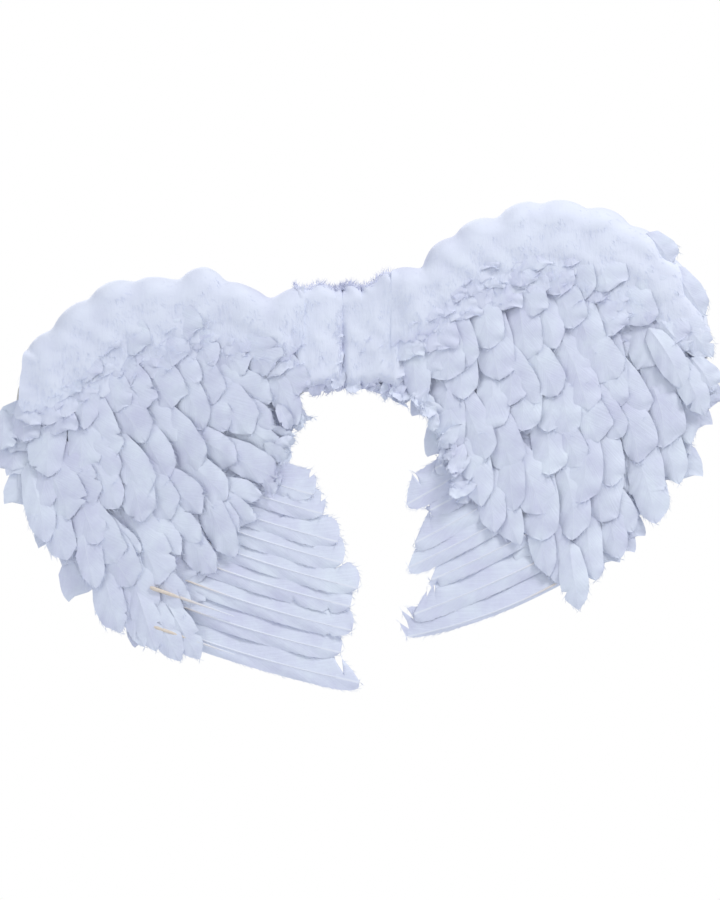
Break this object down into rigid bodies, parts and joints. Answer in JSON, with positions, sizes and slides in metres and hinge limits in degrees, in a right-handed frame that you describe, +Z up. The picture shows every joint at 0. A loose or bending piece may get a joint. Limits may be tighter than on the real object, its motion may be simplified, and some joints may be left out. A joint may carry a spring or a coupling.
{
  "type": "feather fairy wings",
  "caption": "Pair of white goose-feather costume wings on folding card boards, joined by a narrow card spine and worn on two elastic arm loops.",
  "frame": {"origin": "middle of the back pad's outer face, the face that rests on the wearer's back", "axes": "+Z up, -Y the feathered face that shows, +Y towards the wearer's back, +X along the span to the right as seen from the feathered face"},
  "size_m": [0.7089, 0.1462, 0.4873],
  "materials": {
    "flight_feather": "white goose flight feathers, satin vane with fine barbs and a pale shaft",
    "covert_feather": "white goose body feathers, soft satin vanes with faint shafts",
    "down": "fluffy white marabou down",
    "card": "matt white-faced card",
    "felt": "white needle felt",
    "wire": "drawn steel wire",
    "elastic": "white ribbed woven elastic"
  },
  "bodies": {
    "spine": {"back_pad": "felt", "centre_down": "down", "left_strap_end_lower": "elastic", "left_strap_end_upper": "elastic", "right_strap_end_lower": "elastic", "right_strap_end_upper": "elastic", "spine_card": "card"},
    "left_wing": {"left_board": "card", "left_covert_row_1": "covert_feather", "left_covert_row_2": "covert_feather", "left_covert_row_3": "covert_feather", "left_covert_row_4": "covert_feather", "left_covert_row_5": "covert_feather", "left_down_band": "down", "left_felt_back": "felt", "left_flight_1": "flight_feather", "left_flight_2": "flight_feather", "left_flight_3": "flight_feather", "left_flight_4": "flight_feather", "left_flight_5": "flight_feather", "left_flight_6": "flight_feather", "left_flight_7": "flight_feather", "left_flight_8": "flight_feather", "left_flight_9": "flight_feather", "left_wire": "wire"},
    "right_wing": {"right_board": "card", "right_covert_row_1": "covert_feather", "right_covert_row_2": "covert_feather", "right_covert_row_3": "covert_feather", "right_covert_row_4": "covert_feather", "right_covert_row_5": "covert_feather", "right_down_band": "down", "right_felt_back": "felt", "right_flight_1": "flight_feather", "right_flight_2": "flight_feather", "right_flight_3": "flight_feather", "right_flight_4": "flight_feather", "right_flight_5": "flight_feather", "right_flight_6": "flight_feather", "right_flight_7": "flight_feather", "right_flight_8": "flight_feather", "right_wire": "wire"},
    "left_arm_loop": {"left_strap": "elastic"},
    "right_arm_loop": {"right_strap": "elastic"}
  },
  "joints": [
    {"name": "left_wing_fold", "type": "hinge", "parent": "spine", "child": "left_wing", "pos_m": [-0.02, -0.004, 0], "axis": [0, 0, 1], "range_deg": [-20, 70]},
    {"name": "right_wing_fold", "type": "hinge", "parent": "spine", "child": "right_wing", "pos_m": [0.02, -0.004, 0], "axis": [0, 0, -1], "range_deg": [-20, 70]},
    {"name": "left_arm_loop_swing", "type": "hinge", "parent": "spine", "child": "left_arm_loop", "pos_m": [-0.011, -0.0006, 0], "axis": [0, 0, 1], "range_deg": [-10, 18]},
    {"name": "right_arm_loop_swing", "type": "hinge", "parent": "spine", "child": "right_arm_loop", "pos_m": [0.011, -0.0006, 0], "axis": [0, 0, -1], "range_deg": [-10, 18]}
  ]
}
